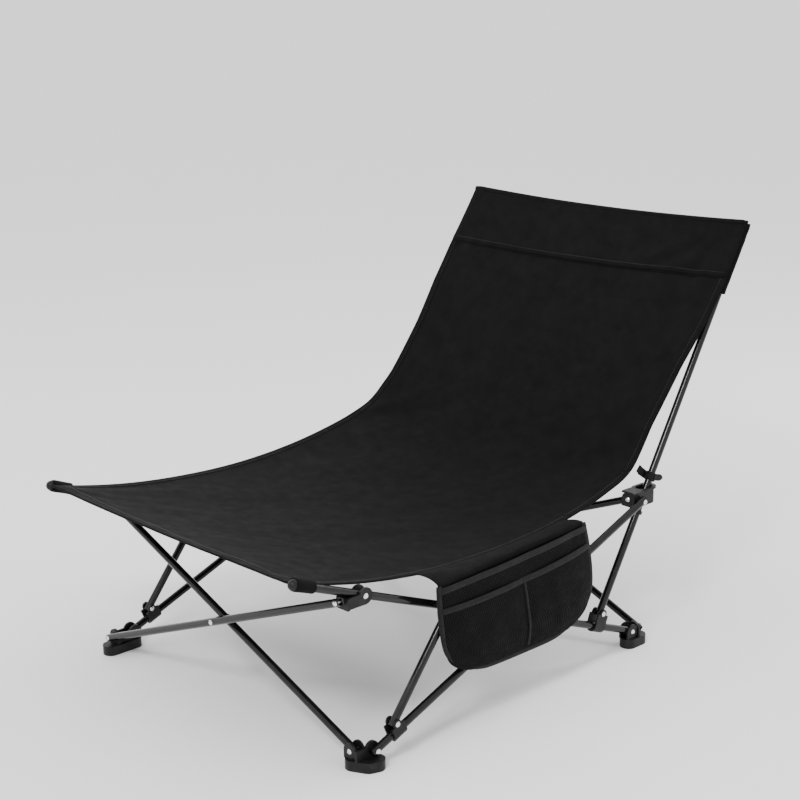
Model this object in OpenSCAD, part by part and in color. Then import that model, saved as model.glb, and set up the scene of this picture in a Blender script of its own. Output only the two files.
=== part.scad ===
// Folding low camp chair: four crossed tube pairs on four feet and four upper hubs, two back
// poles that slide through the rear hubs, two braces with sliders, and one hanging sling with
// a side pocket. X is the sitter's left, -Y the way the chair faces, Z up, floor at Z = 0.

/* [Frame] */
// Distance between the two end pins of a crossing tube, along the floor
pin_span = 620; // [500:5:760]
// Height of the upper pins above the lower pins
hub_rise = 244; // [190:1:300]
// Height of the lower pins above the floor
pin_h = 29; // [24:0.5:36]
// Outside diameter of every tube
tube_d = 13; // [10:0.5:16]
// Wall of every tube
tube_wall = 1.2; // [0.8:0.1:2.5]
// Distance between the two tubes of a crossing pair, axis to axis
pair_gap = 24; // [20:0.5:30]
// How far the front pair stands ahead of the pins of the side pairs
front_out = 21; // [14:1:32]
// Tube left beyond an end pin
tube_over = 7; // [5:0.5:9]
// Length of the front arms past the front hubs
horn_len = 137; // [60:1:180]
// Diameter of the ball caps on the front arms
ball_d = 17; // [15:0.5:24]

/* [Rivets] */
// Rivet shank diameter
rivet_d = 5; // [4:0.25:6]
// Rivet head diameter
head_d = 9; // [7:0.5:12]
// Rivet head height
head_h = 1.6; // [1:0.1:2.5]
// Radial clearance of a shank in a turning hole
pin_fit = 0.05; // [0.02:0.01:0.1]

/* [Plastic corners] */
// Wall of the cheeks
cheek = 3.4; // [2.5:0.1:5]
// Wall that carries the outer tube
end_wall = 4.6; // [3:0.1:7]
// Radius of the cheeks around a pin
cheek_r = 13; // [11:0.5:17]
// Radius of the corners of the foot pads
pad_r = 15; // [12:0.5:20]
// Free space between a tube and a plastic wall
side_gap = 0.4; // [0.3:0.05:1]
// Thickness of the rims on top of the hubs
rim_t = 3.4; // [2:0.2:5]

/* [Back poles] */
// Lean of the poles from upright, degrees
pole_lean = 31; // [20:0.5:38]
// Length of a pole from its lower pin to its top
pole_len = 720; // [560:1:860]
// Place of the pole's lower pin along its side tube
pole_at = 95; // [70:1:130]
// Height of the pole's lower pin above that tube
pole_lift = 23.5; // [18:0.5:28]
// Tube left below the pole's lower pin
pole_over = 4.6; // [4:0.2:7]
// Height of the guide collars
collar_h = 12; // [8:0.5:16]
// Wall of the guide collars
collar_wall = 2.5; // [2:0.1:4]
// Outside diameter of the stop rings on the poles
stop_d = 18; // [16:0.5:24]

/* [Braces] */
// Place of the brace's upper pin, from the crossing towards the front hub
brace_at = 166; // [120:1:200]
// Place of the slider, from the lower front pin
slider_at = 47; // [40:1:80]
// Height of the slider's pin above its tube
slider_lift = 17; // [16:0.5:24]
// Length of the sliders and of the pole brackets
saddle_len = 26; // [18:1:36]
// Radius of their ears around the pin
ear_r = 7.5; // [6.5:0.5:11]

/* [Sling] */
// Thickness of the cloth
cloth_t = 2.4; // [1.6:0.1:4]
// Height of the front hem above the horn caps' centres
hem_lift = 2; // [0:0.5:10]
// Sag of the seat's middle below the line from hem to crease
seat_sag = 50; // [20:1:80]
// Free space between the seat and the front left hub
seat_over = 1.7; // [0.5:0.1:8]
// Height of the crease above the upper pins
crease_up = 33; // [28:1:60]
// Distance of the crease ahead of the rear pins
crease_in = 10; // [0:1:60]
// Place of the seam across the seat, from the centre towards the back
seam_at = 160; // [80:1:240]
// Depth of the double band at the top of the back
band_h = 118; // [60:1:180]
// Free space between the cloth's side edges and the tubes
edge_gap = 2.5; // [1:0.1:6]
// Width of the webbing loops round the poles
loop_w = 14; // [8:1:24]

/* [Side pocket] */
// Length of the pocket along the seat
pocket_l = 340; // [200:5:420]
// Depth of the pocket
pocket_h = 176; // [100:1:190]
// Thickness of the open pouch
pocket_t = 16; // [10:1:30]
// Distance from the chair's centre to the pocket's middle, towards the front
pocket_fwd = 10; // [-40:1:60]

/* [Hidden] */

r = tube_d / 2;
half = pin_span / 2;
tilt = atan(hub_rise / pin_span);
tube_l = sqrt(pin_span * pin_span + hub_rise * hub_rise);
clear = r + side_gap;
outer_wall_r = clear + cheek;
hub_z = pin_h + hub_rise;
x_side = half + pair_gap;
y_hem = -half - horn_len * cos(tilt) - 5;
z_hem = hub_z + horn_len * sin(tilt) + hem_lift;
// lower pin of the poles, the point where a pole meets its hub, and the pole's top
pivot_y = half - pole_at * cos(tilt) + pole_lift * sin(tilt);
pivot_z = pin_h + pole_at * sin(tilt) + pole_lift * cos(tilt);
guide_y = pivot_y + (hub_z - pivot_z) * tan(pole_lean);
guide_d = (hub_z - pivot_z) / cos(pole_lean);
top_y = pivot_y + pole_len * sin(pole_lean);
top_z = pivot_z + pole_len * cos(pole_lean);
collar_r = r + 0.08 + collar_wall;
// half length and half width of the slot that a pole rocks in, and of its cup
cup_low = 15;
slot_a = cup_low * tan(pole_lean) + r / cos(pole_lean) + 1;
slot_b = collar_r + 0.5;
cup_b = slot_b + 3;
// brace: upper pin and lower pin
brace_y = -brace_at * cos(tilt);
brace_z = pin_h + hub_rise / 2 + brace_at * sin(tilt);
slide_y = -half + slider_at * cos(tilt) - slider_lift * sin(tilt);
slide_z = pin_h + slider_at * sin(tilt) + slider_lift * cos(tilt);
brace_l = sqrt(pow(brace_y - slide_y, 2) + pow(brace_z - slide_z, 2));
brace_tilt = atan2(brace_z - slide_z, brace_y - slide_y);
// sling
crease_y = half - crease_in;
crease_z = hub_z + crease_up;
sling_r = half - r - edge_gap;
sling_l = -x_side + r + edge_gap;
pocket_x = x_side + r + head_h + 2.6;
pocket_top = hub_z + 3;
// centre of the whole chair's box
x_mid = (pocket_x + pocket_t - x_side - cup_b - 0.5) / 2;
y_mid = (top_y + 6 - half - horn_len * cos(tilt) - ball_d / 2 - 5) / 2;

module home() translate([-x_mid, -y_mid, 0]) children();

// ---- tubes and rivets -------------------------------------------------------------------

// along the tube: X from its lower pin, Y along its pins, Z square to both
module on_tube(x, y, turn) translate([x, y, pin_h]) rotate([0, 0, turn]) rotate([0, -tilt, 0])
  children();
module rod(a, b, holes) color([0.05, 0.05, 0.055]) difference() {
  translate([a, 0, 0]) rotate([0, 90, 0]) cylinder(d = tube_d, h = b - a, $fn = 48);
  translate([a - 1, 0, 0]) rotate([0, 90, 0]) cylinder(r = r - tube_wall, h = b - a + 2, $fn = 48);
  for (s = holes) translate([s, -tube_d, 0]) rotate([-90, 0, 0])
    cylinder(r = rivet_d / 2 + pin_fit, h = 2 * tube_d, $fn = 32);
}
// a rivet along Y from y0 to y1, with a head outside each end and an optional spacer
module rivet(y0, y1, s0 = 0, s1 = 0) color([0.72, 0.72, 0.70]) translate([0, y0, 0])
  rotate([-90, 0, 0]) {
    cylinder(d = rivet_d, h = y1 - y0, $fn = 32);
    translate([0, 0, y1 - y0]) cylinder(d1 = head_d, d2 = head_d * 0.6, h = head_h, $fn = 32);
    translate([0, 0, -head_h]) cylinder(d1 = head_d * 0.6, d2 = head_d, h = head_h, $fn = 32);
    if (s1 > s0) translate([0, 0, s0 - y0]) cylinder(d = head_d + 3, h = s1 - s0, $fn = 32);
  }
plain_holes = [0, tube_l / 2, tube_l];
side_holes = [0, tube_l / 2, tube_l / 2 + brace_at, tube_l];
module plain_tube(x, y, turn) home() on_tube(x, y, turn)
  rod(-tube_over, tube_l + tube_over, plain_holes);
module horn_tube(x) home() on_tube(x, half, -90)
  rod(-tube_over, tube_l + horn_len, side_holes);
module cross_pin(x, y, turn) home() on_tube(x, y, turn) translate([tube_l / 2, 0, 0])
  rivet(-r - 0.1, pair_gap + r + 0.3, r + 0.3, pair_gap - r - 0.3);

module tube_front_in() plain_tube(half, -half - front_out, 180);
module tube_front_out() plain_tube(-half, -half - front_out - pair_gap, 0);
module tube_right_out() plain_tube(x_side, -half, 90);
module tube_right_in() horn_tube(half);
module tube_left_in() plain_tube(-half, -half, 90);
module tube_left_out() horn_tube(-x_side);
module tube_rear_out() plain_tube(half, half + pair_gap, 180);
module tube_rear_in() plain_tube(-half, half, 0);
module cross_pin_front() cross_pin(half, -half - front_out, 180);
module cross_pin_right() cross_pin(x_side, -half, 90);
module cross_pin_left() cross_pin(-half, -half, 90);
module cross_pin_rear() cross_pin(half, half + pair_gap, 180);

// ball cap with a blind socket over the end of a front arm
module horn_cap(x) home() on_tube(x, half, -90) translate([tube_l + horn_len, 0, 0])
  color([0.06, 0.06, 0.06]) difference() {
    union() {
      sphere(d = ball_d, $fn = 40);
      translate([-12, 0, 0]) rotate([0, 90, 0]) cylinder(d = tube_d + 3, h = 12, $fn = 40);
    }
    translate([-20, 0, 0]) rotate([0, 90, 0]) cylinder(r = r + 0.1, h = 20.1, $fn = 40);
  }
module horn_cap_right() horn_cap(half);
module horn_cap_left() horn_cap(-x_side);

// ---- corners ----------------------------------------------------------------------------

// A corner's own axes: its inner tube lies along U in the plane V = ci, pinned at U = 0; its
// outer tube lies along V in the plane U = co, pinned at V = 0. Z = 0 is the pins' height.
module foot_at(x, y, turn) home() translate([x, y, pin_h]) rotate([0, 0, turn])
  mirror([0, 1, 0]) children();
module hub_at(x, y, turn) home() translate([x, y, hub_z]) rotate([0, 0, turn]) children();
module u_disc(u, v, t, rad) translate([u, v, 0]) rotate([0, 90, 0]) cylinder(r = rad, h = t, $fn = 48);
module v_disc(u, v, t, rad) translate([u, v, 0]) rotate([-90, 0, 0]) cylinder(r = rad, h = t, $fn = 48);
module pin_bores(ci, co) {
  v_disc(0, ci - 2 * outer_wall_r, 4 * outer_wall_r, rivet_d / 2 + pin_fit);
  u_disc(co - clear - end_wall - 1, 0, end_wall + 2, rivet_d / 2 + pin_fit);
}
// two cheeks and the end wall, down to z0 and up to z1 beside the pins
module cheeks(ci, co, z0, z1, wall_top, wall_far = 0) {
  for (v = [ci - outer_wall_r, ci + clear]) {
    v_disc(0, v, cheek, cheek_r);
    translate([-cheek_r, v, z0]) cube([cheek_r + co - clear, cheek, -z0]);
    translate([0, v, -1]) cube([co - clear, cheek, z1 + 1]);
  }
  translate([co - clear - end_wall, min(-cheek_r, ci - outer_wall_r), z0])
    cube([end_wall, max(cheek_r, ci + outer_wall_r, wall_far) - min(-cheek_r, ci - outer_wall_r),
      wall_top - z0]);
}
module foot(ci, co) color([0.07, 0.07, 0.075]) difference() {
  union() {
    hull() for (p = [[0, ci], [co, 0], [co - 4, ci / 2]]) translate([p[0], p[1], -pin_h])
      cylinder(r = pad_r, h = pin_h - cheek_r + 0.5, $fn = 48);
    cheeks(ci, co, -cheek_r, 5, 5);
    u_disc(co - clear - end_wall, 0, end_wall, cheek_r);
  }
  pin_bores(ci, co);
  // square recess beside the inner pin
  translate([7, ci + clear + cheek - 1.4, -12]) cube([5, 3, 5]);
}
module foot_pins(ci, co) {
  translate([0, ci, 0]) rivet(-outer_wall_r - 0.1, outer_wall_r + 0.1);
  translate([co - clear - end_wall, 0, 0]) rotate([0, 0, -90])
    rivet(-0.1, end_wall + clear + r + 0.35);
}
module foot_fr() foot_at(half, -half, 0) foot(front_out, pair_gap);
module foot_fl() foot_at(-half, -half, -90) foot(0, pair_gap + front_out);
module foot_rr() foot_at(half, half, 90) foot(0, pair_gap);
module foot_rl() foot_at(-half, half, 180) foot(0, pair_gap);
module foot_pins_fr() foot_at(half, -half, 0) foot_pins(front_out, pair_gap);
module foot_pins_fl() foot_at(-half, -half, -90) foot_pins(0, pair_gap + front_out);
module foot_pins_rr() foot_at(half, half, 90) foot_pins(0, pair_gap);
module foot_pins_rl() foot_at(-half, half, 180) foot_pins(0, pair_gap);

rim_z = cheek_r - 2.4;
// upper hub, closed by a rim on top; a cup, where given, is [u, v, turn]
module hub(ci, co, cup = []) color([0.07, 0.07, 0.075]) difference() {
  turned = len(cup) > 0 && cup[2] != 0;
  // a turned cup stands beside the end wall, which reaches it; the other joins the far cheek
  wall_far = turned ? cup[1] - slot_b : 0;
  block_y = len(cup) == 0 ? 0 : turned ? -slot_a - 6 : ci + clear - cup[1];
  union() {
    cheeks(ci, co, -cheek_r, rim_z, rim_z, wall_far);
    u_disc(co - clear - end_wall, 0, end_wall, cheek_r);
    translate([-cheek_r, ci - outer_wall_r, rim_z])
      cube([cheek_r + co - clear, 2 * outer_wall_r, rim_t]);
    translate([co - clear - end_wall, min(-cheek_r, ci - outer_wall_r), rim_z])
      cube([end_wall, max(cheek_r, ci + outer_wall_r, wall_far) - min(-cheek_r, ci - outer_wall_r), rim_t]);
    if (len(cup) > 0) translate([cup[0], cup[1], 0]) rotate([0, 0, cup[2]]) {
      oval(-cup_low, cup_low + rim_z, slot_a + 3, cup_b);
      oval(rim_z, rim_t, slot_a + 7, cup_b + 3);
      translate([-cup_b, block_y, -8]) cube([2 * cup_b, -6 - block_y, rim_z + 8 + rim_t]);
    }
  }
  pin_bores(ci, co);
  // room for the head of the inner pin beside the cup
  if (len(cup) > 0) v_disc(0, ci + outer_wall_r, 8, head_d / 2 + 0.4);
  if (len(cup) > 0) translate([cup[0], cup[1], 0]) rotate([0, 0, cup[2]]) {
    oval(-30, 60, slot_a, slot_b);
    u_disc(-cup_b - 5, 0, 2 * cup_b + 10, rivet_d / 2 + pin_fit);
  }
}
// upright prism with half-round ends, long along V
module oval(z, h, a, b) translate([0, 0, z]) {
  for (s = [-1, 1]) translate([0, s * (a - b), 0]) cylinder(r = b, h = h, $fn = 48);
  translate([-b, b - a, 0]) cube([2 * b, 2 * (a - b), h]);
}
// front right hub: the arm runs on over its low front wall
co_far = pair_gap + front_out;
lug_top = (co_far - clear - end_wall) * tan(tilt) - r / cos(tilt) - 1.6;
module horn_hub(co) color([0.07, 0.07, 0.075]) difference() {
  union() {
    for (v = [-outer_wall_r, clear]) {
      v_disc(0, v, cheek, cheek_r);
      translate([0, v, -cheek_r]) cube([co - clear, cheek, cheek_r + lug_top]);
    }
    translate([co - clear - end_wall, -cheek_r, -cheek_r])
      cube([end_wall, 2 * cheek_r, cheek_r + lug_top]);
    translate([r + 3, -outer_wall_r, -cheek_r]) cube([co - clear - r - 3, 2 * outer_wall_r, 4]);
  }
  pin_bores(0, co);
}
module hub_fr() hub_at(half, -half, -90) horn_hub(co_far);
module hub_fl() hub_at(-half, -half, 180) hub(front_out, pair_gap);
module hub_rr() hub_at(half, half, 0) hub(0, pair_gap, [0, guide_y - half, 0]);
module hub_rl() hub_at(-half, half, 90) hub(0, pair_gap, [guide_y - half, pair_gap, -90]);
module hub_pins_fr() hub_at(half, -half, -90) foot_pins(0, co_far);
module hub_pins_fl() hub_at(-half, -half, 180) foot_pins(front_out, pair_gap);
module hub_pins_rr() hub_at(half, half, 0) foot_pins(0, pair_gap);
module hub_pins_rl() hub_at(-half, half, 90) foot_pins(0, pair_gap);

// ---- back poles -------------------------------------------------------------------------

// along the pole: Z up from its lower pin, X across the chair
module on_pole(x) home() translate([x, pivot_y, pivot_z]) rotate([-pole_lean, 0, 0]) children();
module pole(x) on_pole(x) color([0.05, 0.05, 0.055]) difference() {
  translate([0, 0, -pole_over]) cylinder(r = r, h = pole_len + pole_over, $fn = 48);
  translate([0, 0, -pole_over - 1]) cylinder(r = r - tube_wall, h = pole_len + pole_over + 2, $fn = 48);
  // mitred front of the lower end, which turns down onto the side tube
  rotate([-45, 0, 0]) translate([-tube_d, -tube_d, -rivet_d / 2 - 1.5 - tube_d])
    cube([2 * tube_d, 2 * tube_d, tube_d]);
  rotate([0, 90, 0]) translate([0, 0, -tube_d]) cylinder(r = rivet_d / 2 + pin_fit, h = 2 * tube_d, $fn = 32);
}
module pole_right() pole(half);
module pole_left() pole(-x_side);
module pole_cap(x) on_pole(x) color([0.06, 0.06, 0.06]) translate([0, 0, pole_len + 0.1]) {
  cylinder(r = r + 1, h = 2, $fn = 40);
  translate([0, 0, 2]) cylinder(r1 = r + 1, r2 = r - 2, h = 3, $fn = 40);
  translate([0, 0, -14.1]) cylinder(r = r - tube_wall - 0.1, h = 14.1, $fn = 40);
}
module pole_cap_right() pole_cap(half);
module pole_cap_left() pole_cap(-x_side);
module ring(z, h, ro, ri) translate([0, 0, z]) difference() {
  cylinder(r = ro, h = h, $fn = 48);
  translate([0, 0, -1]) cylinder(r = ri, h = h + 2, $fn = 48);
}
module pole_stop(x) on_pole(x) color([0.06, 0.06, 0.06])
  ring(guide_d - 17 / cos(pole_lean) - r * tan(pole_lean) - 12, 6, stop_d / 2, r + 0.1);
module pole_stop_right() pole_stop(half);
module pole_stop_left() pole_stop(-x_side);
// guide collar, rocking on two stubs in the hub's cup
module collar(x) on_pole(x) color([0.09, 0.09, 0.095]) {
  ring(guide_d - collar_h / 2, collar_h, collar_r, r + 0.08);
  for (s = [-1, 1]) translate([s * (r + 0.08 + collar_wall / 2), 0, guide_d]) rotate([0, s * 90, 0])
    cylinder(d = rivet_d, h = cup_b - r - 0.08 - collar_wall / 2, $fn = 32);
}
module collar_right() collar(half);
module collar_left() collar(-x_side);

// ---- brackets, braces and sliders ---------------------------------------------------------

// saddle round a tube with two ears that carry a pin at the height "lift"
module saddle(lift, bore) color([0.08, 0.08, 0.085]) {
  w = bore + cheek;
  difference() {
    union() {
      translate([-saddle_len / 2, 0, 0]) rotate([0, 90, 0]) cylinder(r = w, h = saddle_len, $fn = 48);
      translate([-saddle_len / 2, -w, 0]) cube([saddle_len, 2 * w, lift - 2]);
      translate([0, -w, lift]) rotate([-90, 0, 0]) cylinder(r = ear_r, h = 2 * w, $fn = 48);
    }
    translate([-saddle_len, 0, 0]) rotate([0, 90, 0]) cylinder(r = bore, h = 2 * saddle_len, $fn = 48);
    translate([-saddle_len, -bore, 0]) cube([2 * saddle_len, 2 * bore, lift + 12]);
    translate([0, -2 * w, lift]) rotate([-90, 0, 0]) cylinder(r = rivet_d / 2 + pin_fit, h = 4 * w, $fn = 32);
  }
}
module saddle_pin(lift, bore) translate([0, 0, lift]) rivet(-bore - cheek - 0.1, bore + cheek + 0.1);
module bracket_at(x) home() on_tube(x, half, -90) translate([pole_at, 0, 0]) children();
module pole_bracket_right() bracket_at(half) saddle(pole_lift, clear);
module pole_bracket_left() bracket_at(-x_side) saddle(pole_lift, clear);
module pole_pin_right() bracket_at(half) saddle_pin(pole_lift, clear);
module pole_pin_left() bracket_at(-x_side) saddle_pin(pole_lift, clear);

// the braces stand in the plane of the tubes that their sliders ride on
module slider_on(x) home() on_tube(x, -half, 90) translate([slider_at, 0, 0]) children();
module slider_right() slider_on(x_side) saddle(slider_lift, clear);
module slider_left() slider_on(-half) saddle(slider_lift, clear);
module slider_pin_right() slider_on(x_side) saddle_pin(slider_lift, clear);
module slider_pin_left() slider_on(-half) saddle_pin(slider_lift, clear);
module brace(x) home() translate([x, slide_y, slide_z]) rotate([0, 0, 90]) rotate([0, -brace_tilt, 0])
  rod(-tube_over + 1, brace_l + tube_over, [0, brace_l]);
module brace_right() brace(x_side);
module brace_left() brace(-half);
// from the horn tube through the brace beside it
module brace_pin(x) home() on_tube(x, half, -90)
  translate([tube_l / 2 + brace_at, 0, 0]) rivet(-r - 0.1, pair_gap + r + 0.3, r + 0.1, pair_gap - r - 0.3);
module brace_pin_right() brace_pin(half);
module brace_pin_left() brace_pin(-x_side);

// ---- sling ------------------------------------------------------------------------------

// part of the way from hem to crease at a depth y, height of the line between them, and the
// lean of the sag that keeps the seat clear of the front left hub's rear corner
function seat_t(y) = (y - y_hem) / (crease_y - y_hem);
function seat_line(t) = z_hem + (crease_z - z_hem) * t;
hub_t = seat_t(-half + cheek_r);
hub_sag = seat_line(hub_t) - hub_z - rim_z - rim_t - seat_over - cloth_t / 2;
sag_lean = (hub_sag / (4 * hub_t * (1 - hub_t)) - seat_sag) / (hub_t - 0.5);
// height of the seat at a depth y, and a strip of cloth between two depths
function seat_z(y) = let (t = seat_t(y)) seat_line(t) - 4 * t * (1 - t) * (seat_sag + sag_lean * (t - 0.5));
function back_p(t) = let (s = 14 * 4 * t * (1 - t))
  [crease_y + (top_y - 4 - crease_y) * t + s * cos(pole_lean), crease_z + (top_z - crease_z) * t - s * sin(pole_lean)];
module cloth(points, x0, x1) color([0.14, 0.14, 0.14]) translate([x0, 0, 0]) rotate([90, 0, 90])
  linear_extrude(x1 - x0) offset(delta = cloth_t / 2) polygon(concat(points,
    [for (i = [len(points) - 1:-1:0]) points[i] + [0, 0.01]]));
module seat_strip(y0, y1, n) cloth([for (i = [0:n]) let (y = y0 + (y1 - y0) * i / n) [y, seat_z(y)]],
  sling_l, sling_r);
module seat_front() home() seat_strip(y_hem, seam_at - cloth_t / 2 - 0.2, 14);
module seat_rear() home() seat_strip(seam_at + cloth_t / 2 + 0.2, crease_y - cloth_t - 0.5, 4);
module back_sling() home() cloth([for (i = [0:8]) back_p(i / 8)], sling_l, sling_r);
// second layer of cloth in front of the top of the back
module head_band() home() translate([0, -cos(pole_lean) * (cloth_t + 0.3), sin(pole_lean) * (cloth_t + 0.3)])
  let (t0 = 1 - band_h / (top_z - crease_z))
  cloth([for (i = [0:2]) back_p(t0 + (1 - t0) * i / 2)], sling_l, sling_r);
// webbing loop round a pole, above its hub
module loop(x) home() translate([x, guide_y + (rim_z + rim_t + 10) * tan(pole_lean), hub_z + rim_z + rim_t + 10])
  rotate([-pole_lean, 0, 0]) color([0.1, 0.1, 0.1]) ring(-loop_w / 2 + 5, loop_w, r + 3.4, r + 1.2);
module loop_right() loop(half);
module loop_left() loop(-x_side);

// ---- side pocket ------------------------------------------------------------------------

// an open pouch of two cells, hanging from a flap beside the seat
module side_pocket() home() translate([pocket_x, -pocket_fwd - pocket_l / 2, pocket_top - pocket_h])
  color([0.1, 0.1, 0.1]) {
    difference() {
      cube([pocket_t, pocket_l, pocket_h - 22]);
      for (i = [0, 1]) translate([cloth_t, cloth_t + i * (pocket_l - cloth_t) / 2, cloth_t])
        cube([pocket_t - 2 * cloth_t, (pocket_l - cloth_t) / 2 - cloth_t, pocket_h]);
    }
    translate([0, 0, pocket_h - 22.5]) cube([cloth_t, pocket_l, 22.5]);
    translate([sling_r + 1 - pocket_x, 0, pocket_h - cloth_t]) cube([pocket_x - sling_r - 0.5, pocket_l, cloth_t]);
  }

// ---- what is shown -----------------------------------------------------------------------
foot_fr();
foot_fl();
foot_rr();
foot_rl();
foot_pins_fr();
foot_pins_fl();
foot_pins_rr();
foot_pins_rl();
hub_fr();
hub_fl();
hub_rr();
hub_rl();
hub_pins_fr();
hub_pins_fl();
hub_pins_rr();
hub_pins_rl();
tube_front_in();
tube_front_out();
tube_right_out();
tube_right_in();
tube_left_in();
tube_left_out();
tube_rear_out();
tube_rear_in();
cross_pin_front();
cross_pin_right();
cross_pin_left();
cross_pin_rear();
horn_cap_right();
horn_cap_left();
brace_right();
brace_left();
brace_pin_right();
brace_pin_left();
slider_right();
slider_left();
slider_pin_right();
slider_pin_left();
pole_bracket_right();
pole_bracket_left();
pole_pin_right();
pole_pin_left();
pole_right();
pole_left();
pole_cap_right();
pole_cap_left();
pole_stop_right();
pole_stop_left();
collar_right();
collar_left();
seat_front();
seat_rear();
back_sling();
head_band();
side_pocket();
loop_right();
loop_left();
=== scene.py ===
import math

import bpy
import numpy as np
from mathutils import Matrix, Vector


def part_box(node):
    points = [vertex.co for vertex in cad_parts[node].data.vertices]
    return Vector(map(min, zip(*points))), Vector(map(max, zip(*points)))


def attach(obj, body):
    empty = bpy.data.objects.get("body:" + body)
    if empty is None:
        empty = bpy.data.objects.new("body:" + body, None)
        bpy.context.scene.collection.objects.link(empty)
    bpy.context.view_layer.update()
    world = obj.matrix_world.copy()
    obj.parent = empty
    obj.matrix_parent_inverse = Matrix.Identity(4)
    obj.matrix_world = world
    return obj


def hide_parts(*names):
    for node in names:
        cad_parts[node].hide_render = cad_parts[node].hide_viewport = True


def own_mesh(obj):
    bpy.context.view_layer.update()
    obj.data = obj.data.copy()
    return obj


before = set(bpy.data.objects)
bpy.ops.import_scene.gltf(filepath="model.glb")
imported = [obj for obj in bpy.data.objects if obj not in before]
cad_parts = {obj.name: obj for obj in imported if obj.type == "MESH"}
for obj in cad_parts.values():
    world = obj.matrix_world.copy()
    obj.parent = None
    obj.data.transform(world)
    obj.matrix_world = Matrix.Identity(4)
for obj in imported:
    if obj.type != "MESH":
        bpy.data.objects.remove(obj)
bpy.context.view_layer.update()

MM = 0.001


# ---- camera --------------------------------------------------------------------------------

def make_camera():
    data = bpy.data.cameras.new("camera")
    # found by fitting the feet, hubs, arm ends and pole tops to the photograph
    data.lens = 74.81
    data.sensor_width = 36
    cam = bpy.data.objects.new("camera", data)
    cam.location = (2.02697, -1.89351, 1.18981)
    cam.rotation_euler = [math.radians(a) for a in (74.804, 0.879, 47.090)]
    bpy.context.scene.collection.objects.link(cam)
    bpy.context.scene.camera = cam


# ---- materials -----------------------------------------------------------------------------

class Nodes:
    """Short names for building one material's nodes."""

    def __init__(self, name, base, rough, **sockets):
        self.mat = bpy.data.materials.new(name)
        self.mat.use_nodes = True
        self.tree = self.mat.node_tree
        self.bsdf = self.tree.nodes["Principled BSDF"]
        self.bsdf.inputs["Base Color"].default_value = (*base, 1)
        self.bsdf.inputs["Roughness"].default_value = rough
        for key, value in sockets.items():
            self.bsdf.inputs[key.replace("_", " ")].default_value = value

    def add(self, kind, inputs=(), **values):
        node = self.tree.nodes.new(kind)
        for key, value in values.items():
            setattr(node, key, value)
        for key, value in dict(inputs).items():
            if isinstance(value, bpy.types.NodeSocket):
                self.tree.links.new(value, node.inputs[key])
            else:
                node.inputs[key].default_value = value
        return node

    def coords(self, kind):
        return self.add("ShaderNodeTexCoord").outputs[kind]

    def noise(self, vector, scale, detail=3.0, rough=0.55):
        node = self.add("ShaderNodeTexNoise", {"Vector": vector, "Scale": scale, "Detail": detail,
                                               "Roughness": rough})
        return node.outputs["Fac"]

    def math(self, op, a, b=0.0, c=0.0):
        return self.add("ShaderNodeMath", {0: a, 1: b, 2: c}, operation=op).outputs[0]

    def spread(self, value, low, high, to_low, to_high):
        node = self.add("ShaderNodeMapRange", {"Value": value, "From Min": low, "From Max": high,
                                               "To Min": to_low, "To Max": to_high})
        return node.outputs["Result"]

    def mix(self, fac, a, b):
        node = self.add("ShaderNodeMix", data_type="RGBA")
        self.tree.links.new(fac, node.inputs["Factor"])
        node.inputs["A"].default_value = (*a, 1)
        node.inputs["B"].default_value = (*b, 1)
        return node.outputs["Result"]

    def colour(self, socket):
        self.tree.links.new(socket, self.bsdf.inputs["Base Color"])

    def rough(self, socket):
        self.tree.links.new(socket, self.bsdf.inputs["Roughness"])

    def bump(self, height, distance, strength=1.0, after=None):
        inputs = {"Height": height, "Distance": distance, "Strength": strength}
        if after is not None:
            inputs["Normal"] = after
        out = self.add("ShaderNodeBump", inputs).outputs["Normal"]
        self.tree.links.new(out, self.bsdf.inputs["Normal"])
        return out


def powder_coat():
    """Gloss black powder coat with a faint orange peel and dulled patches."""
    n = Nodes("black_tube", (0.004, 0.004, 0.0045), 0.15, Specular_IOR_Level=0.3)
    at = n.coords("Object")
    worn = n.noise(at, 55, 6, 0.62)
    n.colour(n.mix(n.spread(worn, 0.42, 0.8, 0, 1), (0.0035, 0.0035, 0.004), (0.010, 0.010, 0.0105)))
    n.rough(n.spread(n.noise(at, 160, 4), 0.3, 0.75, 0.09, 0.2))
    peel = n.bump(n.noise(at, 900, 2), 0.00006, 0.35)
    n.bump(n.noise(at, 2600, 1), 0.00002, 0.3, after=peel)
    return n.mat


def nylon():
    """Black moulded nylon: a fine spark texture and lighter rubbed patches."""
    n = Nodes("black_plastic", (0.008, 0.008, 0.0085), 0.38, Specular_IOR_Level=0.2)
    at = n.coords("Object")
    rub = n.spread(n.noise(at, 70, 5, 0.6), 0.45, 0.8, 0, 1)
    n.colour(n.mix(rub, (0.005, 0.005, 0.0055), (0.015, 0.015, 0.0155)))
    n.rough(n.spread(n.noise(at, 240, 3), 0.3, 0.7, 0.34, 0.52))
    n.bump(n.noise(at, 1700, 2), 0.00008, 0.5)
    return n.mat


def zinc():
    """Bright zinc-plated steel with fine scratches."""
    n = Nodes("zinc_rivet", (0.72, 0.73, 0.74), 0.24, Metallic=1.0)
    at = n.coords("Object")
    n.colour(n.mix(n.spread(n.noise(at, 190, 5), 0.4, 0.75, 0, 1), (0.80, 0.81, 0.82),
                   (0.50, 0.51, 0.53)))
    n.rough(n.spread(n.noise(at, 700, 4), 0.3, 0.7, 0.16, 0.36))
    n.bump(n.noise(at, 1500, 3), 0.00004, 0.4)
    return n.mat


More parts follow.
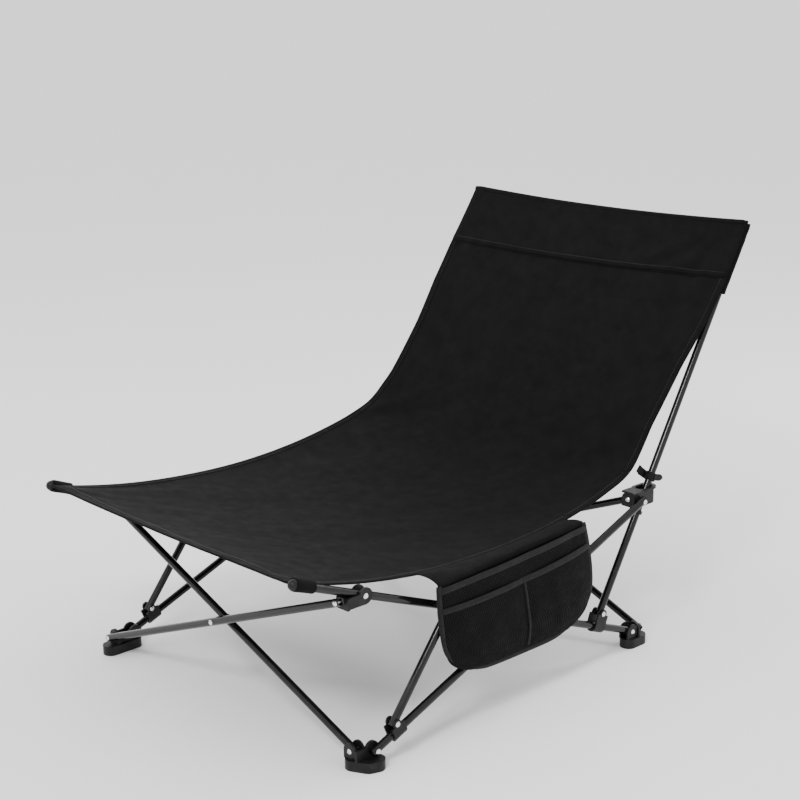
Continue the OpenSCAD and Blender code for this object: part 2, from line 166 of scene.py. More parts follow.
def weave_height(n, uv, pitch, wobble):
    """Over-and-under height of a plain weave; uv is in metres on the flat cloth."""
    bent = n.add("ShaderNodeVectorMath", {0: n.add("ShaderNodeTexNoise", {
        "Vector": uv, "Scale": 130.0, "Detail": 2.0}).outputs["Color"], 1: (wobble,) * 3},
        operation="MULTIPLY").outputs[0]
    at = n.add("ShaderNodeVectorMath", {0: uv, 1: bent}, operation="ADD").outputs[0]
    split = n.add("ShaderNodeSeparateXYZ", {"Vector": at})
    turn = math.pi / pitch
    a = n.math("SINE", n.math("MULTIPLY", split.outputs["X"], turn))
    b = n.math("SINE", n.math("MULTIPLY", split.outputs["Y"], turn))
    over = n.math("MULTIPLY", a, b)
    return n.math("ABSOLUTE", over), over


def woven(name, base, light, pitch, rough, depth=0.00022):
    """Dull black polyester cloth: plain weave, slubs and soft creases."""
    n = Nodes(name, base, rough, Sheen_Weight=0.01, Sheen_Roughness=0.5, Specular_IOR_Level=0.06)
    uv = n.coords("UV")
    height, over = weave_height(n, uv, pitch, 0.0006)
    at = n.coords("Object")
    slub = n.noise(at, 26, 6, 0.66)
    shade = n.math("MULTIPLY_ADD", height, 0.35, n.spread(slub, 0.3, 0.75, 0.0, 0.65))
    n.colour(n.mix(shade, base, light))
    n.rough(n.spread(n.noise(at, 45, 4), 0.3, 0.7, rough - 0.07, rough + 0.08))
    soft = n.bump(n.noise(at, 17, 5, 0.6), 0.0024, 0.30)
    n.bump(n.math("ADD", height, n.math("MULTIPLY", over, 0.4)), depth, 0.8, after=soft)
    return n.mat


def mesh_cloth():
    """Knitted diamond mesh: raised cords round eyes painted near black, which is painted shade of the
    pocket's inside seen through the holes.
    """
    n = Nodes("pocket_mesh", (0.003, 0.003, 0.003), 0.6, Sheen_Weight=0.005,
              Specular_IOR_Level=0.04)
    uv = n.add("ShaderNodeSeparateXYZ", {"Vector": n.coords("UV")})
    turn = math.pi / 0.0052
    x = n.math("MULTIPLY", uv.outputs["X"], turn)
    y = n.math("MULTIPLY", uv.outputs["Y"], turn * 0.62)
    a = n.math("ABSOLUTE", n.math("SINE", n.math("ADD", x, y)))
    b = n.math("ABSOLUTE", n.math("SINE", n.math("SUBTRACT", x, y)))
    cord = n.math("SUBTRACT", 1.0, n.math("MINIMUM", a, b))
    cord = n.spread(cord, 0.28, 0.78, 0, 1)
    at = n.coords("Object")
    # eyes near black as painted shade seen through the mesh holes, cords lighter
    n.colour(n.mix(cord, (0.0004, 0.0004, 0.0005), (0.0062, 0.0062, 0.0065)))
    n.rough(n.spread(n.noise(at, 90, 4), 0.3, 0.7, 0.48, 0.66))
    n.bump(cord, 0.0006, 1.0)
    return n.mat


def webbing():
    """Flat woven tape: strong ribs along its length."""
    n = Nodes("webbing", (0.014, 0.014, 0.015), 0.6, Sheen_Weight=0.02, Specular_IOR_Level=0.14)
    uv = n.coords("UV")
    height, over = weave_height(n, uv, 0.0016, 0.0002)
    at = n.coords("Object")
    n.colour(n.mix(n.math("MULTIPLY_ADD", height, 0.7, n.spread(n.noise(at, 60, 4), 0.3, 0.8, 0, 0.3)),
                   (0.002, 0.002, 0.0022), (0.008, 0.008, 0.0085)))
    n.rough(n.spread(n.noise(at, 120, 3), 0.3, 0.7, 0.52, 0.7))
    n.bump(n.math("ADD", height, n.math("MULTIPLY", over, 0.5)), 0.0004, 0.9)
    return n.mat


def thread():
    n = Nodes("thread", (0.03, 0.03, 0.032), 0.5, Sheen_Weight=0.2)
    at = n.coords("Object")
    n.colour(n.mix(n.noise(at, 400, 3), (0.003, 0.003, 0.0032), (0.012, 0.012, 0.0125)))
    n.bump(n.noise(at, 2400, 2), 0.0001, 0.5)
    return n.mat


# ---- grids of points -----------------------------------------------------------------------

def across(left, middle, right, u):
    """A value that is left at u = -1, middle at 0 and right at 1."""
    return middle + (right - left) / 2 * u + ((right + left) / 2 - middle) * u * u


def bezier(p, t):
    """Point on a cubic curve; p is 4 rows of points, t a list."""
    t = np.asarray(t)[:, None]
    s = 1 - t
    return s ** 3 * p[0] + 3 * s * s * t * p[1] + 3 * s * t * t * p[2] + t ** 3 * p[3]


def normals(g):
    """Unit normals of a grid of points: from the row direction across the column direction."""
    dv, du = np.gradient(g, axis=0), np.gradient(g, axis=1)
    n = np.cross(du, dv)
    return n / np.maximum(np.linalg.norm(n, axis=2, keepdims=True), 1e-12)


def patch(g, v0, v1, u0, u1, nv, nu):
    """A finer or smaller grid cut from g; v and u run from 0 to 1 along its rows and columns."""
    rows = np.linspace(v0, v1, nv) * (g.shape[0] - 1)
    cols = np.linspace(u0, u1, nu) * (g.shape[1] - 1)
    return sample(g, rows[:, None] + 0 * cols, 0 * rows[:, None] + cols)


def sample(g, r, c):
    r, c = np.clip(r, 0, g.shape[0] - 1), np.clip(c, 0, g.shape[1] - 1)
    i = np.minimum(r.astype(int), g.shape[0] - 2)
    j = np.minimum(c.astype(int), g.shape[1] - 2)
    a, b = (r - i)[..., None], (c - j)[..., None]
    return ((1 - a) * (1 - b) * g[i, j] + (1 - a) * b * g[i, j + 1]
            + a * (1 - b) * g[i + 1, j] + a * b * g[i + 1, j + 1])


def lengths(g, axis):
    """Distance along a grid's rows (axis 0) or columns (axis 1), from the first."""
    step = np.linalg.norm(np.diff(g, axis=axis), axis=2)
    zero = np.zeros_like(np.take(step, [0], axis=axis))
    return np.concatenate([zero, np.cumsum(step, axis=axis)], axis=axis)


# ---- meshes --------------------------------------------------------------------------------

def new_object(name, verts, faces, uvs, mat, smooth=True):
    me = bpy.data.meshes.new(name)
    me.from_pydata([tuple(v) for v in verts], [], faces)
    if uvs is not None:
        layer = me.uv_layers.new(name="flat")
        corner = np.zeros(len(me.loops), int)
        me.loops.foreach_get("vertex_index", corner)
        layer.data.foreach_set("uv", np.asarray(uvs, float)[corner].ravel())
    me.polygons.foreach_set("use_smooth", [smooth] * len(me.polygons))
    me.materials.append(mat)
    me.validate()
    ob = bpy.data.objects.new(name, me)
    bpy.context.scene.collection.objects.link(ob)
    return ob


def shell(name, g, thick, mat, lift=0.0, crisp=False):
    """A closed sheet round a grid: two faces 'thick' apart and a rounded rim.

    'crisp' shades the faces apart from the rim, so that lengths of cloth run on into each other.
    """
    nv, nu = g.shape[:2]
    n = normals(g)
    mid = g + n * lift
    top, low = mid + n * thick / 2, mid - n * thick / 2
    ring = ([(0, j) for j in range(nu)] + [(i, nu - 1) for i in range(1, nv)]
            + [(nv - 1, j) for j in range(nu - 2, -1, -1)] + [(i, 0) for i in range(nv - 2, 0, -1)])
    out = np.array([mid[i, j] - mid[min(max(i, 1), nv - 2), min(max(j, 1), nu - 2)]
                    for i, j in ring])
    out /= np.maximum(np.linalg.norm(out, axis=1, keepdims=True), 1e-12)
    rim = np.array([mid[i, j] for i, j in ring]) + out * thick * 0.5
    verts = np.concatenate([top.reshape(-1, 3), low.reshape(-1, 3), rim])
    flat = np.stack([lengths(g, 1), lengths(g, 0)], 2).reshape(-1, 2)
    uvs = np.concatenate([flat, flat, np.array([flat[i * nu + j] for i, j in ring])])
    m, faces = nv * nu, []
    for i in range(nv - 1):
        for j in range(nu - 1):
            a = i * nu + j
            faces.append((a, a + 1, a + nu + 1, a + nu))
            faces.append((m + a, m + a + nu, m + a + nu + 1, m + a + 1))
    for k in range(len(ring)):
        p, q = ring[k], ring[(k + 1) % len(ring)]
        a, b = p[0] * nu + p[1], q[0] * nu + q[1]
        c, d = 2 * m + k, 2 * m + (k + 1) % len(ring)
        faces.append((b, a, c, d))
        faces.append((m + a, m + b, d, c))
    piece = new_object(name, verts, faces, uvs, mat)
    if crisp:
        edge = {i * nu + j + k for i, j in ring for k in (0, m)}
        for e in piece.data.edges:
            e.use_edge_sharp = e.vertices[0] in edge and e.vertices[1] in edge
    return piece


def stitches(name, g, lines, mat, lift, pitch=6.0 * MM, long=4.2 * MM, wide=0.9 * MM):
    """Rows of thread on a grid. A line is (v0, u0, v1, u1), from 0 to 1 along rows and columns."""
    n = normals(g)
    verts, faces = [], []
    for v0, u0, v1, u1 in lines:
        t = np.linspace(0, 1, 400)
        r = (v0 + (v1 - v0) * t) * (g.shape[0] - 1)
        c = (u0 + (u1 - u0) * t) * (g.shape[1] - 1)
        p, up = sample(g, r, c), sample(n, r, c)
        s = np.concatenate([[0], np.cumsum(np.linalg.norm(np.diff(p, axis=0), axis=1))])
        for at in np.arange(pitch / 2, s[-1] - long, pitch):
            ends = [np.array([np.interp(at + d, s, p[:, k]) for k in range(3)])
                    for d in (0, long)]
            nn = np.array([np.interp(at, s, up[:, k]) for k in range(3)])
            along = (ends[1] - ends[0]) / max(np.linalg.norm(ends[1] - ends[0]), 1e-9)
            side = np.cross(nn, along) * wide / 2
            base = len(verts)
            for e, shrink in ((ends[0], 0.5), (ends[0] * 0.7 + ends[1] * 0.3, 1),
                              (ends[0] * 0.3 + ends[1] * 0.7, 1), (ends[1], 0.5)):
                low = e + nn * (lift - 0.3 * MM)
                high = e + nn * (lift + (0.45 * MM if shrink == 1 else 0.0))
                verts += [low - side * shrink, low + side * shrink, high]
            for k in range(3):
                a = base + 3 * k
                faces += [(a, a + 3, a + 5, a + 2), (a + 2, a + 5, a + 4, a + 1),
                          (a + 1, a + 4, a + 3, a)]
            faces += [(base, base + 2, base + 1), (base + 9, base + 10, base + 11)]
    return new_object(name, verts, faces, None, mat)


# ---- sling ---------------------------------------------------------------------------------

def sling_marks():
    """Hem, crease and top of the sling in the YZ plane, and its side edges, from the CAD."""
    front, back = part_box("seat_front"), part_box("back_sling")
    hem = np.array([front[0].y + 1.2 * MM, front[1].z - 1.2 * MM])
    crease = np.array([back[0].y + 1.2 * MM, back[0].z + 1.0 * MM])
    top = np.array([back[1].y - 1.0 * MM, back[1].z - 0.6 * MM])
    return hem, crease, top, front[0].x, front[1].x, front[1].y + 0.3 * MM


HEM, CREASE, TOP, X_LEFT, X_RIGHT, Y_SEAM = sling_marks()
COLS = 61  # points across the sling
CLOTH = 1.5 * MM  # thickness of the cloth
BAND = 128 * MM  # depth of the second layer at the top of the back


def column(u):
    """The four points of the seat's curve and of the back's at a place across the chair."""
    def at(ref, left, middle, right):
        return ref + np.array([across(left[k], middle[k], right[k], u) for k in (0, 1)]) * MM
    hem = at(HEM, (0, 1), (2, -4), (0, 0))
    seat1 = at(HEM, (221, -58), (232, -92), (241, -86))
    seat2 = at(CREASE, (-222, -42), (-215, -72), (-208, -70))
    crease = at(CREASE, (-22, 27), (-2, -3), (20, 9))
    back1 = at(CREASE, (62, 88), (80, 78), (96, 113))
    back2 = at(TOP, (-64, -97), (-48, -98), (-53, -86))
    top = at(TOP, (3, 12), (9, 2), (5, 11))
    return np.array([hem, seat1, seat2, crease]), np.array([crease, back1, back2, top])


def side_out(v):
    """How far the side edges stand outside the CAD's cloth, up the back: v 0 crease, 1 top."""
    return np.interp(v, [0, 0.2, 0.42, 0.58, 0.72, 1], [0, -2, 6, 18, 22, 19]) * MM


def wrinkle(g):
    """Soft folds of the hung cloth, in metres along its normal."""
    x, y, z = g[..., 0], g[..., 1], g[..., 2]

    def fold(px, py, pz, angle, long, wide, high):
        # a ridge on the cloth about a point; the angle is across the chair towards the back
        along = y - py + (z - pz)
        s = (x - px) * math.cos(angle) + along * math.sin(angle)
        c = -(x - px) * math.sin(angle) + along * math.cos(angle)
        return high * MM * np.exp(-(s / long) ** 2 - (c / wide) ** 2)
    h = np.zeros_like(x)
    tz, ty = TOP[1], TOP[0]
    for dx, down, angle, long, wide, high in (
            (-0.055, 0.045, 1.05, 0.050, 0.010, 3.2), (-0.085, 0.060, 0.75, 0.065, 0.013, -2.6),
            (-0.120, 0.055, 0.6, 0.060, 0.014, 2.4), (-0.045, 0.085, 1.35, 0.055, 0.009, -2.6),
            (-0.030, 0.110, 1.5, 0.070, 0.010, 2.4), (-0.110, 0.100, 0.5, 0.080, 0.018, 1.8)):
        h += fold(X_RIGHT + dx, ty - down * 0.5, tz - down * 0.86, angle, long, wide, high)
        h += 0.5 * fold(X_LEFT - dx * 0.9, ty - down * 0.5, tz - down * 0.86, math.pi - angle,
                        long, wide, high)
    hy, hz = HEM
    for i, (dx, dy, angle, long, high) in enumerate((
            (-0.06, 0.06, 2.45, 0.09, 2.4), (-0.10, 0.10, 2.3, 0.12, -2.2),
            (-0.04, 0.11, 1.9, 0.10, 2.0), (-0.17, 0.05, 2.8, 0.13, 2.2),
            (-0.24, 0.09, 2.75, 0.14, -1.8), (-0.02, 0.17, 1.7, 0.12, -1.6))):
        h += fold(X_RIGHT + dx, hy + dy, hz - 0.3 * dy, angle, long, 0.013 + 0.002 * i, high)
        h += 0.7 * fold(X_LEFT - dx, hy + dy, hz - 0.3 * dy, math.pi - angle, long,
                        0.013 + 0.002 * i, high)
    cy, cz = CREASE
    for dx, angle, high in ((-0.05, 2.2, 2.6), (-0.11, 2.5, -2.2), (-0.03, 1.1, 2.2),
                            (-0.09, 0.9, -2.0)):
        h += fold(X_RIGHT + dx, cy + 0.01, cz + 0.01, angle, 0.10, 0.016, high)
        h += fold(X_LEFT - dx, cy, cz + 0.02, math.pi - angle, 0.10, 0.016, high)
    slow = (np.sin(x * 21 + y * 9) * np.sin(y * 16 - x * 7 + 1.3)
            + 0.5 * np.sin(x * 43 - y * 31 + 0.7) * np.sin(z * 29 + x * 17))
    return h + 1.1 * MM * slow


def sling_grids():
    """Points of the three lengths of cloth: seat front, seat rear and back."""
    us = np.linspace(-1, 1, COLS)
    rows = (68, 20, 64)
    parts = [np.zeros((n, COLS, 3)) for n in rows]
    for j, u in enumerate(us):
        seat, back = column(u)
        ts = np.linspace(0, 1, 600)
        seam = np.interp(Y_SEAM, bezier(seat, ts)[:, 0], ts)
        runs = (bezier(seat, np.linspace(0, seam, rows[0])),
                bezier(seat, np.linspace(seam, 1, rows[1])),
                bezier(back, np.linspace(0, 1, rows[2])))
        for part, run in zip(parts, runs):
            part[:, j, 1:] = run
        middle, half = (X_LEFT + X_RIGHT) / 2, (X_RIGHT - X_LEFT) / 2
        v = np.linspace(0, 1, rows[0])
        tuck = -5 * MM * np.sin(np.pi * np.clip(v, 0, 1))
        parts[0][:, j, 0] = middle + u * (half + tuck)
        parts[1][:, j, 0] = middle + u * half
        parts[2][:, j, 0] = middle + u * (half + side_out(np.linspace(0, 1, rows[2])))
    whole = np.concatenate([parts[0], parts[1][1:], parts[2][1:]])
    k = rows[0] + rows[1] - 2
    for _ in range(22):
        lo, hi = k - 9, k + 10
        near = (whole[lo - 1:hi - 1] + whole[lo + 1:hi + 1]) / 2
        whole[lo:hi] = 0.5 * whole[lo:hi] + 0.5 * near
    whole += normals(whole) * wrinkle(whole)[..., None] * edge_fade(whole.shape)
    a, b = rows[0], rows[0] + rows[1] - 1
    return whole[:a], whole[a - 1:b], whole[b - 1:]


def edge_fade(shape):
    """Folds die away towards the hemmed edges."""
    v = np.linspace(0, 1, shape[0])[:, None]
    u = np.linspace(0, 1, shape[1])[None]
    return (np.clip(v / 0.02, 0.25, 1) * np.clip((1 - v) / 0.015, 0.2, 1)
            * np.clip(np.minimum(u, 1 - u) / 0.03, 0.25, 1))[..., None]


def fold_up(piece):
    """Gives the piece a mesh of its own."""
    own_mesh(piece)


def cloth_piece(piece, body, slot="sling_cloth", *nodes):
    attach(piece, body)
    fold_up(piece)
    if nodes:
        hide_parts(*nodes)
    return piece


def side_hems(name, g, body, mats):
    """Turned hems along both side edges, with their stitching."""
    made = []
    width = float(np.mean(lengths(g, 1)[:, -1]))
    w = 13 * MM / width
    nv = g.shape[0]
    for side, u0, u1, us in (("left", 0, w, w * 0.82), ("right", 1 - w, 1, 1 - w * 0.82)):
        hem = shell(f"{name}_hem_{side}", patch(g, 0, 1, u0, u1, nv, 4), 2.9 * MM, mats["cloth"])
        made.append(cloth_piece(hem, body))
        row = stitches(f"{name}_stitches_{side}", g, [(0, us, 1, us)], mats["thread"], 1.5 * MM)
        made.append(cloth_piece(row, body))
    return made


def make_sling(mats):
    front, rear, back = sling_grids()
    # seat, front length
    piece = shell("seat_cloth_front", front, CLOTH, mats["cloth"], crisp=True)
    cloth_piece(piece, "seat_front_cloth", "sling_cloth", "seat_front")
    own = side_hems("seat_front", front, "seat_front_cloth", mats)
    n = 26 * MM / float(np.mean(lengths(front, 0)[-1]))
    hem = shell("seat_front_hem", patch(front, 0, n, 0, 1, 6, COLS), 3.4 * MM, mats["cloth"])
    rows = stitches("seat_front_hem_stitches", front, [(n * 0.9, 0, n * 0.9, 1)],
                    mats["thread"], 1.8 * MM)
    own += [cloth_piece(x, "seat_front_cloth") for x in (hem, rows)]
    # seat, rear length
    piece = shell("seat_cloth_rear", rear, CLOTH, mats["cloth"], crisp=True)
    cloth_piece(piece, "seat_rear_cloth", "sling_cloth", "seat_rear")
    own = side_hems("seat_rear", rear, "seat_rear_cloth", mats)
    # back
    piece = shell("back_cloth", back, CLOTH, mats["cloth"], crisp=True)
    cloth_piece(piece, "back_pole_right", "sling_cloth", "back_sling")
    own = side_hems("back", back, "back_pole_right", mats)
    make_band(back, mats)
    return front, rear, back


def make_band(back, mats):
    """The second layer at the top, its rolled top edge and its lower seam."""
    total = float(np.mean(lengths(back, 0)[-1]))
    v0 = 1 - BAND / total
    rows_up = 26
    g = patch(back, v0, 1, 0, 1, rows_up, COLS)
    rise = np.linspace(0, 1, rows_up)[:, None, None]
    puff = 2.4 * MM + 0.5 * MM * np.exp(-((rise - 0.07) / 0.09) ** 2)
    u = np.linspace(0, 1, COLS)[None, :, None]
    g = g + normals(g) * puff * (0.6 + 0.4 * np.sin(np.pi * u))
    band = shell("head_band_cloth", g, CLOTH, mats["cloth"])
    cloth_piece(band, "back_pole_right", "sling_cloth", "head_band")
    seam = patch(back, v0 - 4 * MM / total, v0 + 5 * MM / total, 0.004, 0.996, 4, COLS)
    # the welt's darker cloth is a painted shadow line along the band's lower seam
    welt = shell("head_band_welt", seam, 1.2 * MM, mats["painted_seam_shadow"], lift=1.1 * MM)
    rows = stitches("head_band_stitches", g, [(0.055, 0.01, 0.055, 0.99), (0.955, 0.01, 0.955, 0.99)],
                    mats["thread"], 0.8 * MM)
    top = patch(back, 1 - 7 * MM / total, 1, 0, 1, 3, COLS)
    roll = shell("head_band_roll", top, 5.2 * MM, mats["cloth"], lift=1.2 * MM)
    own = [cloth_piece(x, "back_pole_right") for x in (welt, rows, roll)]


# ---- pieces sewn round the tubes -----------------------------------------------------------

def sock(name, rings, thick, mat, closed=False):
    """A double-walled tube of cloth through closed rings of points; 'closed' shuts its far end."""
    outer = np.array(rings)
    middle = outer.mean(axis=1, keepdims=True)
    away = outer - middle
    far = np.maximum(np.linalg.norm(away, axis=2, keepdims=True), 1e-9)
    inner = outer - away / far * np.minimum(thick, far * 0.6)
    k, n = outer.shape[:2]
    verts = np.concatenate([outer.reshape(-1, 3), inner.reshape(-1, 3)])
    flat = np.stack([np.tile(np.linspace(0, 0.07, n), k),
                     np.repeat(np.linspace(0, 0.12, k), n)], 1)
    uvs = np.concatenate([flat, flat])
    m, faces = k * n, []
    for i in range(k - 1):
        for j in range(n):
            a, b = i * n + j, i * n + (j + 1) % n
            faces += [(a, b, b + n, a + n), (m + a, m + a + n, m + b + n, m + b)]
    for j in range(n):
        b = (j + 1) % n
        faces.append((j, m + j, m + b, b))
        if not closed:
            a, b = (k - 1) * n + j, (k - 1) * n + b
            faces.append((a, b, m + b, m + a))
    if closed:
        last = (k - 1) * n
        faces += [tuple(range(last, last + n)), tuple(range(m + last + n - 1, m + last - 1, -1))]
    return new_object(name, verts, faces, uvs, mat)


def sweep(name, points, out, half_wide, half_thick, mat, sides=10):
    """A flat tape with a rounded section along a path; 'out' is the direction it faces."""
    p = np.asarray(points, float)
    along = np.gradient(p, axis=0)
    along /= np.linalg.norm(along, axis=1, keepdims=True)
    face = np.broadcast_to(np.asarray(out, float), p.shape)
    face = face - along * np.sum(face * along, axis=1, keepdims=True)
    face /= np.linalg.norm(face, axis=1, keepdims=True)
    side = np.cross(along, face)
    turn = np.linspace(0, 2 * np.pi, sides, endpoint=False)
    ca = np.sign(np.cos(turn)) * np.abs(np.cos(turn)) ** 0.55
    sa = np.sign(np.sin(turn)) * np.abs(np.sin(turn)) ** 0.7
    rings = (p[:, None] + side[:, None] * (ca * half_wide)[None, :, None]
             + face[:, None] * (sa * half_thick)[None, :, None])
    k = len(p)
    far = np.concatenate([[0], np.cumsum(np.linalg.norm(np.diff(p, axis=0), axis=1))])
    uvs = np.stack([np.tile(ca * half_wide, k), np.repeat(far, sides)], 1)
    faces = []
    for i in range(k - 1):
        for j in range(sides):
            a, b = i * sides + j, i * sides + (j + 1) % sides
            faces.append((a, a + sides, b + sides, b))
    faces += [tuple(range(sides)), tuple(range(k * sides - 1, (k - 1) * sides - 1, -1))]
    return new_object(name, rings.reshape(-1, 3), faces, uvs, mat)


def tube_axis(node, lean, up=True):
    """Ends of a CAD tube that leans in the YZ plane, from its box: (x, low end, high end)."""
    lo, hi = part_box(node)
    r = (hi.x - lo.x) / 2
    c, s = math.cos(lean) * r, math.sin(lean) * r
    low = np.array([(lo.x + hi.x) / 2, lo.y + c, lo.z + s])
    high = np.array([(lo.x + hi.x) / 2, hi.y - c, hi.z - s])
    return low, high


LEAN = math.radians(31)  # of the back poles, from upright


def pole_sleeve(side, back, mats):
    """Corner pocket at the top of the back, round the end of a pole."""
    low, high = tube_axis("pole_" + side, LEAN)
    along = (high - low) / np.linalg.norm(high - low)
    ahead = np.array([0, -along[2], along[1]])
    out = np.array([1.0 if side == "right" else -1.0, 0, 0])
    middle, half = 1.5 * MM, 11.5 * MM  # its section, across the chair from the pole's axis
    behind = 8.4 * MM
    column = -1 if side == "right" else 0
    edge = back[:, column] - high
    turn = np.linspace(0, 2 * np.pi, 28, endpoint=False)
    rings = []
    for s in (-121, -120, -112, -98, -82, -66, -50, -34, -20, -8, 0, 5, 8.5, 10.5, 11.5):
        s *= MM
        front = max(8.2 * MM, np.interp(s, edge @ along, edge @ ahead) + 0.4 * MM)
        close = 1 if s < 2 * MM else max(0.12, 1 - ((s - 2 * MM) / (9.7 * MM)) ** 2)
        b = (front - behind) / 2 + (front + behind) / 2 * close * np.sin(turn)
        a = middle + half * np.cos(turn) * (1 - 0.05 * (1 - close))
        thin = 1 - 0.42 * np.clip((a - 8 * MM) / (14 * MM), 0, 1)
        b = b * thin + (front - behind) / 2 * (1 - thin) * 0.6
        a = a + 0.5 * MM * np.sin(s * 190) * np.cos(turn)
        rings.append(high + along * s + out * a[:, None] + ahead * b[:, None])
    if side == "left":
        rings = [r[::-1] for r in rings]
    piece = sock("pole_sleeve_" + side, rings, 1.3 * MM, mats["cloth"], closed=True)
    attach(piece, "back_pole_" + side)


def corner_sock(side, mats):
    """Cloth sleeve round the end of a front arm, behind its ball cap."""
    lo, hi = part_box("horn_cap_" + side)
    r = 8.5 * MM
    ball = np.array([(lo.x + hi.x) / 2, lo.y + r, hi.z - r])
    tilt = math.atan2(CREASE[1] - 0.062, 0.62)
    along = np.array([0, -math.cos(tilt), math.sin(tilt)])
    up = np.array([0, math.sin(tilt), math.cos(tilt)])
    out = np.array([1.0 if side == "right" else -1.0, 0, 0])
    turn = np.linspace(0, 2 * np.pi, 26, endpoint=False)
    rings = []
    for s, grow in ((-38, 0.0), (-37, 0.5), (-30, 0.4), (-22, 0.5), (-12, 0.8), (-5, 0.9),
                    (-1, 0.5), (0, 0.0)):
        a = -1.5 * MM + (10.6 + grow) * MM * np.cos(turn)
        b = 0.4 * MM + (9.4 + grow) * MM * np.sin(turn)
        rings.append(ball + along * s * MM + out * a[:, None] + up * b[:, None])
    if side == "left":
        rings = [x[::-1] for x in rings]
    piece = sock("corner_sleeve_" + side, rings, 1.3 * MM, mats["cloth"])
    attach(piece, side + "_arm_tube")


def pole_loop(side, mats):
    """Webbing round a pole above its hub, with a lead to the sling and a pointed tail."""
    lo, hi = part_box("loop_" + side)
    centre = (np.array(lo) + np.array(hi)) / 2
    s = 1.0 if side == "right" else -1.0
    along = np.array([0, math.sin(LEAN), math.cos(LEAN)])
    ahead = np.array([0, -math.cos(LEAN), math.sin(LEAN)])
    out = np.array([s, 0, 0])
    r = 9.0 * MM
    path = [centre + ahead * 27 * MM - out * 10 * MM + along * 4 * MM,
            centre + ahead * 18 * MM - out * 9.2 * MM + along * 2 * MM]
    for a in np.linspace(math.radians(150), math.radians(-190), 30):
        path.append(centre + ahead * r * math.sin(a) + out * r * math.cos(a))
    path += [centre + ahead * 18 * MM - out * 12.5 * MM + along * 2 * MM]
    strap = sweep("pole_loop_" + side, path, -out, 7 * MM, 0.9 * MM, mats["webbing"])
    tail = [centre + out * 9.6 * MM + ahead * (2 - d * 0.82) * MM + along * d * 0.22 * MM
            for d in np.linspace(0, 30, 9)]
    end = sweep("pole_loop_tail_" + side, tail, out, 6 * MM, 0.9 * MM, mats["webbing"])
    taper_end(end, tail, 10)
    for piece in (strap, end):
        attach(piece, "guide_" + side)
    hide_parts("loop_" + side)


def taper_end(piece, path, sides):
    """Draws the last rings of a swept tape to a point."""
    verts = piece.data.vertices
    for i, keep in ((-3, 0.9), (-2, 0.6), (-1, 0.12)):
        centre = np.array(path[i])
        first = (len(path) + i) * sides
        for v in range(first, first + sides):
            verts[v].co = centre + (np.array(verts[v].co) - centre) * keep


# ---- side pocket ---------------------------------------------------------------------------

PANEL = 1.6 * MM  # thickness of the pocket's cloth
POCKET_HEM = 9 * MM  # width of the hems along its openings
DIVIDER = 0.53  # place of the seam between its two cells, from the front
COLS_POCKET = 64


def pocket_point(a, h, x):
    """A point of the pocket: a along it from the front, h down from its top, x its depth."""
    lo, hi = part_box("side_pocket")
    front = lo.y + (-8 + 26 * h ** 2 + 40 * h ** 12) * MM
    rear = hi.y + (-20 + 60 * h - 38 * h ** 2 - 56 * h ** 10) * MM
    top = hi.z + (-13 + 20 * a) * MM
    low = lo.z - 0.5 * MM + 5 * MM * (2 * a - 1) ** 4
    return np.stack([x + 0 * a + 0 * h, front + (rear - front) * a, top + (low - top) * h], -1)


def pocket_grid(h0, h1, depth, rows=26, cols=COLS_POCKET):
    """Rows down, columns along; h0 and h1 are functions of a."""
    a = np.linspace(0, 1, cols)[None] + np.zeros((rows, 1))
    k = np.linspace(0, 1, rows)[:, None] + np.zeros((1, cols))
    h = h0(a) + (h1(a) - h0(a)) * k
    return pocket_point(a, h, depth(a, k, h))


def slit(z0, z1, dip):
    """Height down the pocket of an edge that runs from z0 to z1 below the pocket's top."""
    lo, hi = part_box("side_pocket")

    def at(a):
        top = -13 + 20 * a
        low = (lo.z - hi.z) / MM - 0.5
        z = -(z0 + (z1 - z0) * a) - dip * np.sin(np.pi * a)
        return (top - z) / (top - low)
    return at


